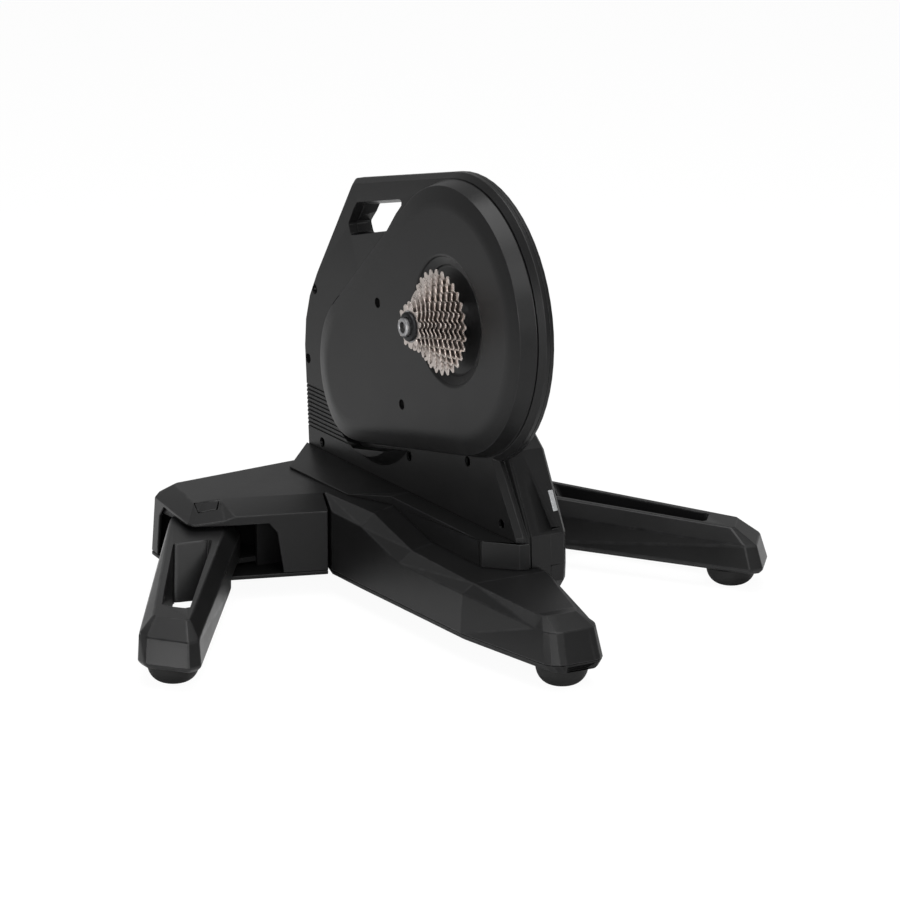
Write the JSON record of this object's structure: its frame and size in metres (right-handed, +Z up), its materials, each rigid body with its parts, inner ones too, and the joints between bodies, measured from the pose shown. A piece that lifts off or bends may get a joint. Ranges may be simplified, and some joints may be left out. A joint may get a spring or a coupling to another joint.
{
  "type": "bike trainer",
  "caption": "Wheel-off indoor bike trainer: sprocket cassette on a fixed axle, belt-driven flywheel in a slim casing with a carry handle, and folding legs.",
  "frame": {"origin": "centre of the bounding box at floor level", "axes": "+X forwards from the carry handle to the tip of the front beam, +Y to the side away from the sprockets, +Z up"},
  "size_m": [0.6636, 0.8014, 0.512],
  "materials": {
    "shell": "satin black moulded plastic",
    "plates": "dull black moulded plastic",
    "rubber": "black rubber",
    "belt": "ribbed black belt rubber",
    "frame": "black powder coat on steel",
    "steel": "turned steel",
    "cogs": "nickel plated steel",
    "alloy": "machined alloy",
    "dark_metal": "blackened metal",
    "lens": "milky window",
    "board": "green circuit board"
  },
  "bodies": {
    "base": {"arm_cover_left": "shell", "arm_cover_right": "shell", "axle": "steel", "axle_end_drive": "alloy", "axle_end_other": "alloy", "beam_cover": "shell", "beam_plate": "plates", "belt": "belt", "belt_cover": "shell", "brake_magnet": "dark_metal", "brake_yoke": "steel", "casing_back_half": "shell", "casing_drive_half": "shell", "casing_screw_1": "dark_metal", "casing_screw_2": "dark_metal", "casing_screw_3": "dark_metal", "casing_screw_4": "dark_metal", "casing_screw_5": "dark_metal", "casing_screw_6": "dark_metal", "chassis_plate": "alloy", "control_board": "board", "cover_screw_1": "dark_metal", "cover_screw_2": "dark_metal", "flywheel_bearing_front": "steel", "flywheel_bearing_rear": "steel", "foot_front": "rubber", "foot_rear_left": "rubber", "foot_rear_right": "rubber", "hinge_pin_left": "steel", "hinge_pin_right": "steel", "hub_bearing_front": "steel", "hub_bearing_rear": "steel", "power_socket": "plates", "rear_plate": "plates", "skirt_back": "shell", "skirt_drive": "shell", "spine_frame": "frame", "status_light": "lens"},
    "right_leg": {"leg_right": "shell", "foot_leg_right": "rubber"},
    "left_leg": {"leg_left": "shell", "foot_leg_left": "rubber"},
    "right_button": {"release_button_right": "shell"},
    "left_button": {"release_button_left": "shell"},
    "drive": {"freehub_body": "alloy", "lockring": "dark_metal", "large_pulley": "alloy", "sprocket_11": "cogs", "sprocket_12": "cogs", "sprocket_13": "cogs", "sprocket_14": "cogs", "sprocket_15": "cogs", "sprocket_17": "cogs", "sprocket_19": "cogs", "sprocket_21": "cogs", "sprocket_23": "cogs", "sprocket_25": "cogs", "sprocket_28": "cogs"},
    "flywheel": {"flywheel": "steel", "flywheel_shaft": "steel"}
  },
  "joints": [
    {"name": "right_leg_fold", "type": "hinge", "parent": "base", "child": "right_leg", "pos_m": [-0.19875, -0.171, 0.055], "axis": [0, 0, 1], "range_deg": [0, 42]},
    {"name": "left_leg_fold", "type": "hinge", "parent": "base", "child": "left_leg", "pos_m": [-0.19875, 0.171, 0.055], "axis": [0, 0, -1], "range_deg": [0, 42]},
    {"name": "right_button_press", "type": "slide", "parent": "base", "child": "right_button", "axis": [0, 0, -1], "range_m": [0, 0.002], "stiffness_N_per_m": 800, "springref_m": -0.002},
    {"name": "left_button_press", "type": "slide", "parent": "base", "child": "left_button", "axis": [0, 0, -1], "range_m": [0, 0.002], "stiffness_N_per_m": 800, "springref_m": -0.002},
    {"name": "cassette_spin", "type": "hinge", "parent": "base", "child": "drive", "pos_m": [0.05025, -0.03, 0.35], "axis": [0, 1, 0], "continuous": true},
    {"name": "flywheel_spin", "type": "hinge", "parent": "base", "child": "flywheel", "pos_m": [-0.15975, 0.035, 0.2415], "axis": [0, 1, 0], "continuous": true}
  ],
  "couplings": [
    {"joint": "flywheel_spin", "follows": "cassette_spin", "ratio": 6.1364}
  ]
}
